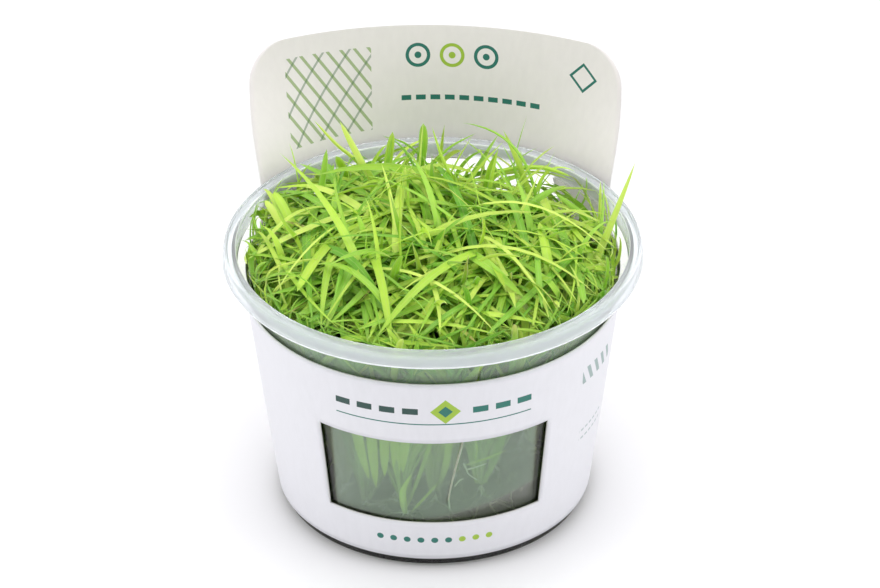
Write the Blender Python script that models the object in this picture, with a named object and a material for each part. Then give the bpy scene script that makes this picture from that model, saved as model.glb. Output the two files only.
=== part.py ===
"""Creeping rush grown in a clear culture cup, with the printed card sleeve that wraps the cup.

Metres, +Z up. The origin is the middle of the cup's foot, and the sleeve's window faces -Y.
"""

import math

import bmesh
import bpy
import numpy as np
from mathutils import Vector
from mathutils.kdtree import KDTree

# The cup: a turned, tapered tub with a stepped rim that takes a lid.
FOOT_RADIUS = 0.0351
CUP_HEIGHT = 0.0644
WALL_TAPER = math.tan(math.radians(7.1))
WALL_THICKNESS = 0.0008
FLOOR_THICKNESS = 0.0012
FLOOR_ROUND = 0.0006
FOOT_CHAMFER = 0.0005
STEP_HEIGHT = 0.0586
RIM_LEDGE = 0.0606
RIM_INNER_RADIUS = 0.0443
RIM_RADIUS = 0.0475
RIM_CHAMFER = 0.0006
RIM_THICKNESS = 0.0012
SKIRT_BOTTOM = 0.0612
SKIRT_THICKNESS = 0.0009
SEGMENTS = 52

# The card sleeve: one sheet that rings the cup and stands up behind it.
CARD_THICKNESS = 0.00045
CARD_GAP = 0.00035
SLEEVE_BOTTOM = 0.0027
SLEEVE_TOP = 0.0539
WINDOW_BOTTOM = 0.0134
WINDOW_TOP = 0.0371
WINDOW_HALF_ANGLE = math.radians(38.9)
SLOT_HALF_ANGLE = math.radians(38.8)
SLOT_TOP = 0.0592
TAB_BOTTOM = 0.0580
TAB_HALF_ANGLE = math.radians(10.5)
HEADER_HALF_ANGLE = math.radians(64.0)
HEADER_TOP = 0.0908
HEADER_ARCH = 0.0003
HEADER_CORNER = 0.0085
CORNER_ANGLES = (30, 55, 75, 90)
ROW_STEP = 0.0085
COLUMN_STEP = math.radians(8.0)
HEADER_FOOT_ARC = 0.0474
HEADER_TOP_ARC = 0.0446
HEADER_CLEARANCE = 0.0007
HEADER_LEAN = math.tan(math.radians(10.5))
HEADER_TOP_BEND = 0.088
HEADER_TWIST = math.radians(2.2)
HEADER_SHIFT = 0.0008
FLARE_START = 0.0455
NECK_END_ANGLE = math.radians(86)

# The jelly in the foot of the cup, whose top has slipped to a slope.
PIECE_GAP = 0.0003
GEL_HEIGHT = 0.0135
GEL_SLOPE = 0.26

# The plantlets: crowns set out like the seeds of a sunflower, each with a few long leaves.
PLANTLETS = 50
LEAVES_EACH = 4
CROWN_SPREAD = 0.0318
CROWN_RADIUS = 0.0013
CROWN_HEIGHT = 0.0026
LEAF_WIDTH = 0.0021
LEAF_KEEL = 0.0006
LEAF_STEPS = 6
LEAF_CLEARANCE = 0.0020
OWN_CLEARANCE = 0.0024
LEAF_ROOM = LEAF_WIDTH * 0.7
FOOT_OUT = CROWN_RADIUS * 0.45
FOOT_UP = CROWN_HEIGHT / 6
MAT_HEIGHT = 0.0640
MAT_CROWN = 0.0050
MAT_RADIUS = 0.0425
TALLEST_LEAF = 0.0840
LONGEST_REACH = 0.046
BELOW_MAT = 0.010
ABOVE_MAT = 0.007
MOST_ARCH = 0.25
SIDE_SPREAD = 0.002
LEAST_FACING = 0.7
SHOULDER_OUT = 0.0055
STANDING_SHOULDER_OUT = 0.0055
STANDING_SHOULDER_SHARE = 0.55
TRIES = 1200
PATH_POINTS = 28
OWN_CROWN_POINTS = 4
SETTING_OUT = slice(3, 6)
SEED = 11
GOLDEN_ANGLE = math.radians(137.508)

# Leaves that stand out of the mat: crown, bend over and tip, each in millimetres.
STANDING_LEAVES = (
    ((-2, 14), (-3, 20, 66), (-2, 25, 81)),
    ((-10, 14), (-12, 20, 64), (-9, 25, 78)),
    ((-10, -27), (-10, -36, 86), (-35, 27, 72)),
    ((-7, -26), (-9, -34, 88), (-6, 28, 70)),
    ((4, -8), (3, -12, 86), (-6, 26, 73)),
    ((24, 8), (28, 14, 84), (7, 35, 75)),
    ((3, 25), (2, 26, 70), (12, 31, 70)),
    ((9, 12), (12, 14, 66), (15, 20, 77)),
    ((18, 16), (20, 20, 78), (33, 26, 67)),
    ((27, -15), (35, -14, 62), (46, 12, 78)),
    ((28, -8), (38, -6, 60), (39, 14, 72)),
    ((-24, 16), (-29, 26, 62), (-33, 33, 71)),
    ((-26, 4), (-34, 2, 78), (-39, 21, 66)),
    ((-29, -8), (-36, -10, 66), (-42, -6, 69)),
    ((-28, -2), (-37, -4, 64), (-41, 7, 68)),
    ((-18, -22), (-22, -32, 84), (-38, -15, 64)),
)


def wall_radius(height):
    """The outside of the cup's tapered wall."""
    return FOOT_RADIUS + height * WALL_TAPER


def inner_radius(height):
    """The inside of the cup's wall, from the edge of its floor to the step under its rim."""
    foot = wall_radius(FLOOR_THICKNESS) - WALL_THICKNESS - FLOOR_ROUND
    top = wall_radius(STEP_HEIGHT) - WALL_THICKNESS
    return foot + (top - foot) * (height - FLOOR_THICKNESS) / (STEP_HEIGHT - FLOOR_THICKNESS)


def smooth_step(low, high, value):
    share = min(1.0, max(0.0, (value - low) / (high - low)))
    return share * share * (3 - 2 * share)


def clear_scene():
    for obj in list(bpy.data.objects):
        bpy.data.objects.remove(obj, do_unlink=True)


def plain_material(name, colour, roughness, transmission=0.0, ior=1.45):
    material = bpy.data.materials.new(name)
    material.use_nodes = True
    shader = material.node_tree.nodes["Principled BSDF"]
    shader.inputs["Base Color"].default_value = (*colour, 1.0)
    shader.inputs["Roughness"].default_value = roughness
    shader.inputs["Metallic"].default_value = 0.0
    shader.inputs["Transmission Weight"].default_value = transmission
    shader.inputs["IOR"].default_value = ior
    return material


def mesh_object(name, points, faces, material):
    mesh = bpy.data.meshes.new(name)
    mesh.from_pydata([tuple(p) for p in points], [], faces)
    mesh.update()
    obj = bpy.data.objects.new(name, mesh)
    bpy.context.scene.collection.objects.link(obj)
    mesh.materials.append(material)
    return obj


def face_outward(obj):
    """Turns a closed mesh's faces to point out."""
    work = bmesh.new()
    work.from_mesh(obj.data)
    bmesh.ops.recalc_face_normals(work, faces=work.faces)
    work.to_mesh(obj.data)
    work.free()


def drop_loose_points(obj):
    """Removes the points that no face uses."""
    work = bmesh.new()
    work.from_mesh(obj.data)
    loose = [v for v in work.verts if not v.link_faces]
    bmesh.ops.delete(work, geom=loose, context="VERTS")
    work.to_mesh(obj.data)
    work.free()


def shade_round(obj, crease=35):
    obj.data.shade_smooth()
    obj.data.set_sharp_from_angle(angle=math.radians(crease))


def turned(name, profile, material):
    """A solid turned about +Z from (radius, height) points that begin and end on the axis."""
    points = []
    rings = []
    for radius, height in profile:
        if radius == 0:
            rings.append([len(points)] * SEGMENTS)
            points.append((0.0, 0.0, height))
            continue
        rings.append(list(range(len(points), len(points) + SEGMENTS)))
        for i in range(SEGMENTS):
            angle = 2 * math.pi * i / SEGMENTS
            points.append((radius * math.cos(angle), radius * math.sin(angle), height))
    faces = []
    for low, high in zip(rings, rings[1:]):
        for i in range(SEGMENTS):
            j = (i + 1) % SEGMENTS
            corners = (low[i], low[j], high[j], high[i])
            faces.append(tuple(dict.fromkeys(corners)))
    obj = mesh_object(name, points, faces, material)
    face_outward(obj)
    shade_round(obj)
    return obj


def cup_profile():
    """From the middle of the foot up the wall, round the rim, and down to the middle of the floor."""
    skirt_inner = RIM_RADIUS - SKIRT_THICKNESS
    return (
        (0, 0),
        (FOOT_RADIUS - FOOT_CHAMFER, 0),
        (wall_radius(FOOT_CHAMFER), FOOT_CHAMFER),
        (wall_radius(STEP_HEIGHT), STEP_HEIGHT),
        (RIM_INNER_RADIUS + WALL_THICKNESS, RIM_LEDGE),
        (RIM_INNER_RADIUS + WALL_THICKNESS, CUP_HEIGHT - RIM_THICKNESS),
        (skirt_inner, CUP_HEIGHT - RIM_THICKNESS),
        (skirt_inner, SKIRT_BOTTOM),
        (RIM_RADIUS, SKIRT_BOTTOM),
        (RIM_RADIUS, CUP_HEIGHT - RIM_CHAMFER),
        (RIM_RADIUS - RIM_CHAMFER, CUP_HEIGHT),
        (RIM_INNER_RADIUS, CUP_HEIGHT),
        (RIM_INNER_RADIUS, RIM_LEDGE + WALL_THICKNESS / 2),
        (inner_radius(STEP_HEIGHT), STEP_HEIGHT),
        (inner_radius(FLOOR_THICKNESS), FLOOR_THICKNESS),
        (0, FLOOR_THICKNESS),
    )


def make_cup():
    clear = plain_material("clear_plastic", (0.86, 0.90, 0.90), 0.08, transmission=0.9, ior=1.49)
    return turned("cup", cup_profile(), clear)


def steps_between(marks, longest, before=()):
    """The marks with even steps between them, none over longest, after the values before them."""
    values = [*before, marks[0]]
    for start, end in zip(marks, marks[1:]):
        count = max(1, math.ceil((end - start) / longest))
        values.extend(start + (end - start) * k / count for k in range(1, count + 1))
    return values


def card_columns():
    """Angles round the card from its middle at the back, closed at the front."""
    window_edge = math.pi - WINDOW_HALF_ANGLE
    marks = [
        -math.pi,
        -window_edge,
        -HEADER_HALF_ANGLE,
        -SLOT_HALF_ANGLE,
        -TAB_HALF_ANGLE,
        TAB_HALF_ANGLE,
        SLOT_HALF_ANGLE,
        HEADER_HALF_ANGLE,
        window_edge,
        math.pi,
    ]
    return steps_between(marks, COLUMN_STEP)[:-1]


def ring_rows():
    """Heights up the ring of card, with the window's edges among them."""
    below = (SLEEVE_BOTTOM, WINDOW_BOTTOM, WINDOW_TOP)
    return steps_between((FLARE_START, SLEEVE_TOP), ROW_STEP / 2, below)


def header_rows():
    """Heights up the neck and header, closer together round the top corners."""
    corner_start = HEADER_TOP - HEADER_CORNER
    rows = steps_between((SLOT_TOP, corner_start), ROW_STEP, (TAB_BOTTOM,))
    return rows + [corner_start + HEADER_CORNER * math.sin(math.radians(a)) for a in CORNER_ANGLES]


def ring_radius(height):
    return wall_radius(height) + CARD_GAP + CARD_THICKNESS / 2


def flare(height):
    """How far the header's foot stands out from the line of the wall, to clear the rim."""
    outside_rim = RIM_RADIUS + HEADER_CLEARANCE + CARD_THICKNESS / 2
    full = outside_rim - ring_radius(SLOT_TOP)
    return full * smooth_step(FLARE_START, SLOT_TOP, height)


def neck_share(angle):
    """How far the ring of card follows the header out from the wall: only beside the slot."""
    inner = smooth_step(SLOT_HALF_ANGLE / 2, SLOT_HALF_ANGLE, abs(angle))
    outer = 1 - smooth_step(HEADER_HALF_ANGLE, NECK_END_ANGLE, abs(angle))
    return inner * outer


def ring_point(angle, height):
    share = neck_share(angle)
    radius = ring_radius(height) + flare(height) * share
    shift = HEADER_SHIFT * share * smooth_step(FLARE_START, SLEEVE_TOP, height)
    return (radius * math.sin(angle) + shift, radius * math.cos(angle), height)


def header_width(height):
    """The header's half width along the card, rounded in at its top corners."""
    share = max(0.0, (height - SLOT_TOP) / (HEADER_TOP - SLOT_TOP))
    width = HEADER_FOOT_ARC + (HEADER_TOP_ARC - HEADER_FOOT_ARC) * share
    over = max(0.0, height - (HEADER_TOP - HEADER_CORNER))
    inset = HEADER_CORNER - math.sqrt(max(0.0, HEADER_CORNER**2 - over**2))
    return width - inset


def header_point(angle, height):
    """The header bends round the cup at its foot, and flattens, leans back and twists as it rises."""
    share = smooth_step(SLOT_TOP, HEADER_TOP, height)
    foot = min(height, SLOT_TOP)
    foot_radius = ring_radius(foot) + flare(foot)
    bend = foot_radius + (HEADER_TOP_BEND - foot_radius) * share
    widening = smooth_step(SLEEVE_TOP, SLOT_TOP, height)
    along = foot_radius + (header_width(height) / HEADER_HALF_ANGLE - foot_radius) * widening
    turn = angle * along / bend
    across = bend * math.sin(turn)
    behind = foot_radius + max(0.0, height - CUP_HEIGHT) * HEADER_LEAN - bend * (1 - math.cos(turn))
    droop = HEADER_ARCH * (angle / HEADER_HALF_ANGLE) ** 2 * share
    return (across + HEADER_SHIFT, behind - across * math.sin(HEADER_TWIST) * share, height - droop)


def in_window(middle, low, high):
    beside = abs(middle) > math.pi - WINDOW_HALF_ANGLE
    return beside and WINDOW_BOTTOM < (low + high) / 2 < WINDOW_TOP


def in_slot(middle, low, high):
    bottom = TAB_BOTTOM if abs(middle) < TAB_HALF_ANGLE else SLOT_TOP
    return abs(middle) < SLOT_HALF_ANGLE and SLEEVE_TOP < (low + high) / 2 < bottom


def beside_header(middle, low, high):
    return abs(middle) > HEADER_HALF_ANGLE and (low + high) / 2 > SLEEVE_TOP


def make_sleeve():
    """A sheet on a grid of angles and heights, without the cells of its openings, given its thickness."""
    card = plain_material("white_card", (0.82, 0.81, 0.84), 0.55)
    columns = card_columns()
    rows = ring_rows() + header_rows()
    count = len(columns)
    points = []
    for height in rows:
        place = ring_point if height <= SLEEVE_TOP else header_point
        points += [place(angle, height) for angle in columns]
    faces = []
    for row, (low, high) in enumerate(zip(rows, rows[1:])):
        for column, left in enumerate(columns):
            following = (column + 1) % count
            middle = left + COLUMN_STEP / 10
            if any(gap(middle, low, high) for gap in (in_window, in_slot, beside_header)):
                continue
            below = row * count
            above = below + count
            faces.append((below + column, below + following, above + following, above + column))
    sleeve = mesh_object("sleeve", points, faces, card)
    drop_loose_points(sleeve)
    thick = sleeve.modifiers.new("card", "SOLIDIFY")
    thick.thickness = CARD_THICKNESS
    thick.offset = 0
    thick.use_even_offset = True
    return sleeve


def gel_top(x):
    return GEL_HEIGHT + GEL_SLOPE * x


def make_gel():
    jelly = plain_material("clear_gel", (0.62, 0.70, 0.58), 0.12, transmission=0.8, ior=1.34)
    bottom = FLOOR_THICKNESS + PIECE_GAP
    taper = (inner_radius(GEL_HEIGHT) - inner_radius(bottom)) / (GEL_HEIGHT - bottom)
    points = [(0, 0, bottom), (0, 0, gel_top(0))]
    for i in range(SEGMENTS):
        angle = 2 * math.pi * i / SEGMENTS
        foot = inner_radius(bottom) - PIECE_GAP
        points.append((foot * math.cos(angle), foot * math.sin(angle), bottom))
    for i in range(SEGMENTS):
        angle = 2 * math.pi * i / SEGMENTS
        slope = taper * GEL_SLOPE * math.cos(angle)
        radius = (inner_radius(GEL_HEIGHT) - PIECE_GAP) / (1 - slope)
        x = radius * math.cos(angle)
        points.append((x, radius * math.sin(angle), gel_top(x)))
    faces = []
    for i in range(SEGMENTS):
        j = (i + 1) % SEGMENTS
        low, low_next, high, high_next = 2 + i, 2 + j, 2 + SEGMENTS + i, 2 + SEGMENTS + j
        faces += [(0, low_next, low), (low, low_next, high_next, high), (1, high, high_next)]
    gel = mesh_object("gel", points, faces, jelly)
    face_outward(gel)
    shade_round(gel)
    return gel


def crown_place(index):
    """The middle of a plantlet's crown, resting just above the jelly."""
    radius = CROWN_SPREAD * math.sqrt((index + 0.5) / PLANTLETS)
    angle = index * GOLDEN_ANGLE
    x = radius * math.cos(angle)
    y = radius * math.sin(angle)
    lift = PIECE_GAP + GEL_SLOPE * CROWN_RADIUS + CROWN_HEIGHT / 2
    return Vector((x, y, gel_top(x) + lift))


def mat_height(x, y):
    """The height of the mat of leaves, which stands a little above the rim in its middle."""
    share = min(1.0, math.hypot(x, y) / RIM_INNER_RADIUS)
    return MAT_HEIGHT + MAT_CROWN * (1 - share * share)


def leaf_path(foot, shoulder, bend, tip, steps):
    """Points along a leaf: a cubic curve from its foot to its tip."""
    t = np.linspace(0, 1, steps + 1)[:, None]
    corners = [np.array(p) for p in (foot, shoulder, bend, tip)]
    weights = ((1 - t) ** 3, 3 * t * (1 - t) ** 2, 3 * t**2 * (1 - t), t**3)
    return sum(w * c for w, c in zip(weights, corners))


def face_middle(crown, side):
    """Where a leaf leaves its crown, and the direction out."""
    angle = math.pi / 4 + side * 2 * math.pi / LEAVES_EACH
    outward = Vector((math.cos(angle), math.sin(angle), 0))
    return crown + outward * FOOT_OUT + Vector((0, 0, FOOT_UP)), outward


def inside_cup(path):
    """True where every point is clear of the wall below the rim, and near the cup above it."""
    radius = np.hypot(path[:, 0], path[:, 1])
    room = np.where(
        path[:, 2] < STEP_HEIGHT,
        inner_radius(path[:, 2]) - LEAF_ROOM,
        RIM_INNER_RADIUS - LEAF_ROOM,
    )
    room = np.where(path[:, 2] > CUP_HEIGHT + LEAF_WIDTH, RIM_RADIUS - LEAF_WIDTH, room)
    return bool((radius < room).all() and (path[:, 2] < TALLEST_LEAF).all())


class Grown:
    """The points of the leaves that have grown, and a test of a new leaf's distance from them."""

    def __init__(self):
        self.points = []
        self.marks = []
        self.tree = KDTree(0)
        self.tree.balance()

    def add(self, plantlet, path):
        self.points += list(path)
        self.marks += [(plantlet, order) for order in range(len(path))]
        self.tree = KDTree(len(self.points))
        for number, point in enumerate(self.points):
            self.tree.insert(point, number)
        self.tree.balance()

    def clear_of(self, path, plantlet):
        for order, point in enumerate(path):
            for _, number, distance in self.tree.find_range(point, OWN_CLEARANCE):
                owner, other = self.marks[number]
                if owner != plantlet and distance <= LEAF_CLEARANCE:
                    return False
                if owner == plantlet and min(order, other) >= OWN_CROWN_POINTS:
                    return False
        return True


def random_leaf(foot, outward, chance):
    """A leaf that leans across the cup, or rises and bends over, and ends anywhere in the mat."""
    radius = MAT_RADIUS * math.sqrt(chance.uniform(0, 1))
    around = chance.uniform(0, 2 * math.pi)
    x = radius * math.cos(around)
    y = radius * math.sin(around)
    short = min(1.0, LONGEST_REACH / math.hypot(x - foot.x, y - foot.y))
    x = foot.x + (x - foot.x) * short
    y = foot.y + (y - foot.y) * short
    tip = Vector((x, y, mat_height(x, y) + chance.uniform(-BELOW_MAT, ABOVE_MAT)))
    way = tip - foot
    reach = math.hypot(way.x, way.y)
    upright = chance.uniform(0, 1)
    if way.dot(outward) < reach * LEAST_FACING:
        upright = 1.0
    low = 0.33 * (1 - upright)
    high = 0.67 - 0.37 * upright
    side = chance.normal(0, SIDE_SPREAD)
    arch = chance.uniform(0, MOST_ARCH) * reach * upright
    shoulder = foot + outward * SHOULDER_OUT
    shoulder += Vector((way.x * low, way.y * low, way.z * (0.33 + 0.3 * upright)))
    bend = foot + Vector((way.x * high, way.y * high, way.z * (0.67 + 0.33 * upright) + arch))
    bend += Vector((-way.y, way.x, 0)).normalized() * side
    return foot, shoulder, bend, tip


def sets_out_clear(path, crown, outward):
    """True where a leaf's first stretch, edges included, keeps to its own quarter of the crown."""
    away = path[SETTING_OUT] - np.array(crown)
    out = away[:, 0] * outward.x + away[:, 1] * outward.y
    beside = abs(away[:, 0] * outward.y - away[:, 1] * outward.x)
    return bool((out > beside + LEAF_WIDTH / 2).all())


def nearest_crown(crowns, x, y):
    return min(range(PLANTLETS), key=lambda k: math.hypot(crowns[k].x - x, crowns[k].y - y))


def sides_towards(crown, target):
    """The sides of a crown, the one that faces the target most first."""
    return sorted(
        range(LEAVES_EACH), key=lambda side: -face_middle(crown, side)[1].dot(target - crown)
    )


def grow_standing(crowns, leaves, grown):
    """The leaves that stand out, each from the nearest crown's best free side."""
    for crown_mm, bend_mm, tip_mm in STANDING_LEAVES:
        plantlet = nearest_crown(crowns, crown_mm[0] / 1000, crown_mm[1] / 1000)
        bend = Vector(bend_mm) / 1000
        tip = Vector(tip_mm) / 1000
        for side in sides_towards(crowns[plantlet], bend):
            foot, outward = face_middle(crowns[plantlet], side)
            rise = Vector((0, 0, STANDING_SHOULDER_SHARE * (bend.z - foot.z)))
            shoulder = foot + outward * STANDING_SHOULDER_OUT + rise
            path = leaf_path(foot, shoulder, bend, tip, PATH_POINTS)
            if (plantlet, side) not in leaves and grown.clear_of(path, plantlet):
                leaves[plantlet, side] = (foot, shoulder, bend, tip)
                grown.add(plantlet, path)
                break


def grow_mat(crowns, leaves, grown):
    """The other leaves, each tried at random until it is clear of those before it, or left out."""
    chance = np.random.default_rng(SEED)
    for side in range(LEAVES_EACH):
        for plantlet in range(PLANTLETS):
            if (plantlet, side) in leaves:
                continue
            foot, outward = face_middle(crowns[plantlet], side)
            for _ in range(TRIES):
                corners = random_leaf(foot, outward, chance)
                path = leaf_path(*corners, PATH_POINTS)
                if not sets_out_clear(path, crowns[plantlet], outward):
                    continue
                if inside_cup(path) and grown.clear_of(path, plantlet):
                    leaves[plantlet, side] = corners
                    grown.add(plantlet, path)
                    break


def grow_leaves(crowns):
    """The control points of each plantlet's leaves, by plantlet and side of its crown."""
    leaves = {}
    grown = Grown()
    grow_standing(crowns, leaves, grown)
    grow_mat(crowns, leaves, grown)
    return leaves


def square_to(vector, *axes):
    """The part of a vector that is square to each of the axes, at length 1."""
    for axis in axes:
        vector = vector - axis * vector.dot(axis)
    return vector.normalized()


def leaf_rings(work, start, corners):
    """Draws one face of the crown out along a leaf's path, three points to a ring, to a pointed tip."""
    path = [Vector(p) for p in leaf_path(*corners, LEAF_STEPS)]
    left, right, top = start
    across = right.co - left.co
    inward = top.co - (left.co + right.co) / 2
    ring = start
    for step in range(1, LEAF_STEPS):
        along = (path[step + 1] - path[step - 1]).normalized()
        across = square_to(across, along)
        inward = square_to(inward, along, across)
        taper = 1 - (step / LEAF_STEPS) ** 3
        half = across * (LEAF_WIDTH / 2 * taper**0.7)
        keel = inward * (LEAF_KEEL * taper)
        fresh = [work.verts.new(path[step] + offset) for offset in (-half, half, keel)]
        for a, b in ((0, 1), (1, 2), (2, 0)):
            work.faces.new((ring[a], ring[b], fresh[b], fresh[a]))
        ring = fresh
    tip = work.verts.new(path[-1])
    for a, b in ((0, 1), (1, 2), (2, 0)):
        work.faces.new((ring[a], ring[b], tip))


def make_plantlet(index, crown, leaves):
    """A crown with four upper faces, each drawn out into a leaf, and four lower faces that close it."""
    work = bmesh.new()
    top = work.verts.new(crown + Vector((0, 0, CROWN_HEIGHT / 2)))
    bottom = work.verts.new(crown - Vector((0, 0, CROWN_HEIGHT / 2)))
    waist = []
    for side in range(LEAVES_EACH):
        angle = side * 2 * math.pi / LEAVES_EACH
        waist.append(
            work.verts.new(crown + Vector((math.cos(angle), math.sin(angle), 0)) * CROWN_RADIUS)
        )
    for side in range(LEAVES_EACH):
        left = waist[side]
        right = waist[(side + 1) % LEAVES_EACH]
        work.faces.new((left, bottom, right))
        if (index, side) in leaves:
            leaf_rings(work, (left, right, top), leaves[index, side])
        else:
            work.faces.new((left, right, top))
    bmesh.ops.recalc_face_normals(work, faces=work.faces)
    name = f"plantlet_{index + 1:02d}"
    mesh = bpy.data.meshes.new(name)
    work.to_mesh(mesh)
    work.free()
    tint = (index * 7 % 11) / 11
    green = (0.16 + 0.14 * tint, 0.36 + 0.12 * tint, 0.035 + 0.02 * tint)
    mesh.materials.append(plain_material(name, green, 0.45))
    plantlet = bpy.data.objects.new(name, mesh)
    bpy.context.scene.collection.objects.link(plantlet)
    return plantlet


def main():
    clear_scene()
    make_cup()
    make_sleeve()
    make_gel()
    crowns = [crown_place(index) for index in range(PLANTLETS)]
    leaves = grow_leaves(crowns)
    for index, crown in enumerate(crowns):
        make_plantlet(index, crown, leaves)


main()
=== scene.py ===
from math import atan2, ceil, copysign, cos, exp, hypot, pi, radians, sin, sqrt, tan, tau

import bmesh
import bpy
import numpy as np
from mathutils import Matrix, Vector
from mathutils.kdtree import KDTree


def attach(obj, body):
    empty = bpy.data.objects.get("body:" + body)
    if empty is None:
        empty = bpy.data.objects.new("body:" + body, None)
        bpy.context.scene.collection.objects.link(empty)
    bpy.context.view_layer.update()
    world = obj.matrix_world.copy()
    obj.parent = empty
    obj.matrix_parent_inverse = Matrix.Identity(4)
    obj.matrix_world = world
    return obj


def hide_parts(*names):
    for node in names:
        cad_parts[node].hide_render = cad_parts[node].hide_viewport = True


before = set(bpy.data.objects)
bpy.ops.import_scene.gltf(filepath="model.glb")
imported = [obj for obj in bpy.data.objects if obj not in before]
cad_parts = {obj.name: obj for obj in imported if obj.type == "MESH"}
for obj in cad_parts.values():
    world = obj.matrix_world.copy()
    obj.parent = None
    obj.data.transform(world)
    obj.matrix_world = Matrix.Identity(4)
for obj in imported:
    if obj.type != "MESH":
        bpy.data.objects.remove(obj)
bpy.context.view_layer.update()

# The cup, in metres, as in the part's own source.
FOOT_RADIUS = 0.0351
CUP_HEIGHT = 0.0644
WALL_TAPER = tan(radians(7.1))
WALL_THICKNESS = 0.0008
FLOOR_THICKNESS = 0.0012
FLOOR_ROUND = 0.0006
FOOT_CHAMFER = 0.0005
STEP_HEIGHT = 0.0586
RIM_LEDGE = 0.0606
RIM_INNER_RADIUS = 0.0443
RIM_RADIUS = 0.0475
RIM_THICKNESS = 0.0012
SKIRT_BOTTOM = 0.0612
SKIRT_THICKNESS = 0.0009
SEGMENTS = 144
ANGLES = [tau * k / SEGMENTS for k in range(SEGMENTS)]

# The rim's section: how far each point lies in from the outside or out from the mouth, and how far
# above the skirt's edge or below the top.
SKIRT_EDGE = ((SKIRT_THICKNESS, 0.0002), (0.0001, 0.0), (0.0, 0.0004))
OUTER_BEAD = ((0.0003, 0.0007), (0.0006, 0.0), (0.0011, 0.0), (0.0013, 0.00025))
INNER_BEAD = ((0.0009, 0.00025), (0.0006, 0.0), (0.0001, 0.0), (0.0, 0.0002))
ROUNDING = 0.0004
ROUNDING_STEPS = 4
MOST_ROUNDED = 0.45
SKIRT_BAND = 0.0005
LIP_BAND = 0.0003
TURNED_RINGS = 9000.0

# The card sleeve.
CARD_THICKNESS = 0.00045
CARD_GAP = 0.00035
SLEEVE_BOTTOM = 0.0027
SLEEVE_TOP = 0.0539
WINDOW_BOTTOM = 0.0134
WINDOW_TOP = 0.0371
WINDOW_HALF_ANGLE = radians(38.9)
SLOT_HALF_ANGLE = radians(38.8)
SLOT_TOP = 0.0592
TAB_BOTTOM = 0.0580
TAB_HALF_ANGLE = radians(10.5)
HEADER_HALF_ANGLE = radians(64.0)
HEADER_TOP = 0.0908
HEADER_ARCH = 0.0003
HEADER_CORNER = 0.0085
CORNER_ANGLES = (8, 16, 24, 32, 40, 48, 56, 63, 69, 75, 80, 85, 90)
ROW_STEP = 0.0014
COLUMN_STEP = radians(2.0)
ROUNDING_ERROR = 1e-6
HEADER_FOOT_ARC = 0.0474
HEADER_TOP_ARC = 0.0446
HEADER_CLEARANCE = 0.0007
HEADER_LEAN = tan(radians(10.5))
HEADER_TOP_BEND = 0.088
HEADER_TWIST = radians(2.2)
HEADER_SHIFT = 0.0008
FLARE_START = 0.0455
NECK_END_ANGLE = radians(86)

# The jelly.
PIECE_GAP = 0.0003
GEL_HEIGHT = 0.0135
GEL_SLOPE = 0.26
GEL_RINGS = (0.25, 0.5, 0.7, 0.85, 0.94, 1.0)
GEL_DIMPLE = 0.0003
GEL_WAVES = 5
GEL_TWIST = 9

# Mist on the wall's inside, and painted shade on the wall behind the card: where the card would
# shade the wall beside the window, reaching a little into the window's sides, the wall is painted
# darker. The mist fades above the card and towards the back, and keeps off the jelly, the window's
# foot, the painted shade and a wet streak by the long root.
MIST_OVER_GEL = (-0.0005, 0.0015)
MIST_OVER_SILL = (0.0003, 0.0008)
MIST_FRONT = (-0.022, -0.004)
MIST_THINNING = 0.004
PAINTED_SHADE_EDGE = (0.0212, 0.0218)
PAINTED_SHADE_SLANT = 0.034
STREAK_EDGE = (0.0002, 0.0004)
STREAK_SLANT = 0.2
STREAK_SHIFT = 0.00106
STREAK_FOOT = 0.0190

# The inks of the print, how far the card's white varies, and where most of a noise lies.
DARK_INK = (0.018, 0.062, 0.052)
TEAL_INK = (0.016, 0.16, 0.125)
LIME_INK = (0.33, 0.50, 0.045)
CARD_SHADE = 0.965
NOISE_LOW = 0.3
NOISE_HIGH = 0.7

# The plantlets. These grow the same leading leaves as the part's own source.
PLANTLETS = 50
LEAVES_EACH = 4
CROWN_SPREAD = 0.0318
CROWN_RADIUS = 0.0013
CROWN_HEIGHT = 0.0026
LEAF_WIDTH = 0.0021
LEAF_CLEARANCE = 0.0020
OWN_CLEARANCE = 0.0024
LEAF_ROOM = LEAF_WIDTH * 0.7
FOOT_OUT = CROWN_RADIUS * 0.45
FOOT_UP = CROWN_HEIGHT / 6
MAT_HEIGHT = 0.0640
MAT_CROWN = 0.0050
MAT_RADIUS = 0.0425
TALLEST_LEAF = 0.0840
LONGEST_REACH = 0.046
BELOW_MAT = 0.010
ABOVE_MAT = 0.007
MOST_ARCH = 0.25
SIDE_SPREAD = 0.002
LEAST_FACING = 0.7
THIRD = 0.33
TWO_THIRDS = 0.67
BEND_BACK = 0.37
SHOULDER_LIFT = 0.3
SHOULDER_OUT = 0.0055
STANDING_SHOULDER_SHARE = 0.55
TRIES = 1200
PATH_POINTS = 28
OWN_CROWN_POINTS = 4
SETTING_OUT = slice(3, 6)
SEED = 11
GOLDEN_ANGLE = radians(137.508)

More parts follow.
